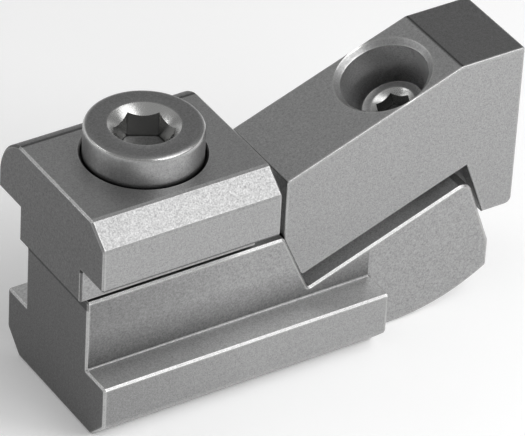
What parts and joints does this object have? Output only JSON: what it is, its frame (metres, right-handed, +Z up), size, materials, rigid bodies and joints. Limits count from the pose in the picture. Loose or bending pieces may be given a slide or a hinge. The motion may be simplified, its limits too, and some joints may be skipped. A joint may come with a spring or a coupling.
{
  "type": "flat clamp",
  "caption": "Flat clamp for an 18 mm T-slot: a T-shaped slot body, a screwed clamping block and a jaw that its own screw draws down a steep guide on to the workpiece.",
  "frame": {"origin": "on the underside of the T-slot body, below the middle of the clamp's length, on the slot's centre line", "axes": "+X along the slot, from the block to the jaw's clamping face; +Z up, out of the slot; Y across the slot"},
  "size_m": [0.0772, 0.0304, 0.0448],
  "materials": {
    "body_steel": "fine-grained phosphated steel, satin",
    "block_steel": "fine-grained phosphated steel, satin",
    "screw_steel": "blackened steel, satin",
    "jaw_steel": "fine-grained phosphated steel, satin",
    "jaw_screw_steel": "blackened steel, satin",
    "ring_steel": "blued spring steel"
  },
  "bodies": {
    "slot_body": {"t_slot_body": "body_steel"},
    "block": {"clamping_block": "block_steel"},
    "block_screw": {"clamping_screw": "screw_steel"},
    "jaw": {"clamping_jaw": "jaw_steel"},
    "jaw_bolt": {"jaw_screw": "jaw_screw_steel", "retaining_ring": "ring_steel"}
  },
  "joints": [
    {"name": "block_slide", "type": "slide", "parent": "slot_body", "child": "block", "axis": [0, 0, 1], "range_m": [-0.00039, 0.0035]},
    {"name": "block_screw_turn", "type": "hinge", "parent": "block", "child": "block_screw", "pos_m": [-0.02321, 0, 0.0378], "axis": [0, 0, 1], "range_deg": [-80.7, 720.5]},
    {"name": "jaw_slide", "type": "slide", "parent": "slot_body", "child": "jaw", "axis": [0.4067, 0, -0.9135], "range_m": [-0.001, 0.0019]},
    {"name": "jaw_screw_turn", "type": "hinge", "parent": "jaw", "child": "jaw_bolt", "pos_m": [0.02262, 0, 0.02842], "axis": [0.342, 0, -0.9397], "range_deg": [-359.6, 682.8]}
  ],
  "couplings": [
    {"joint": "block_screw_turn", "follows": "block_slide", "rad_per_m": 3590.4},
    {"joint": "jaw_screw_turn", "follows": "jaw_slide", "rad_per_m": 6267.9}
  ]
}
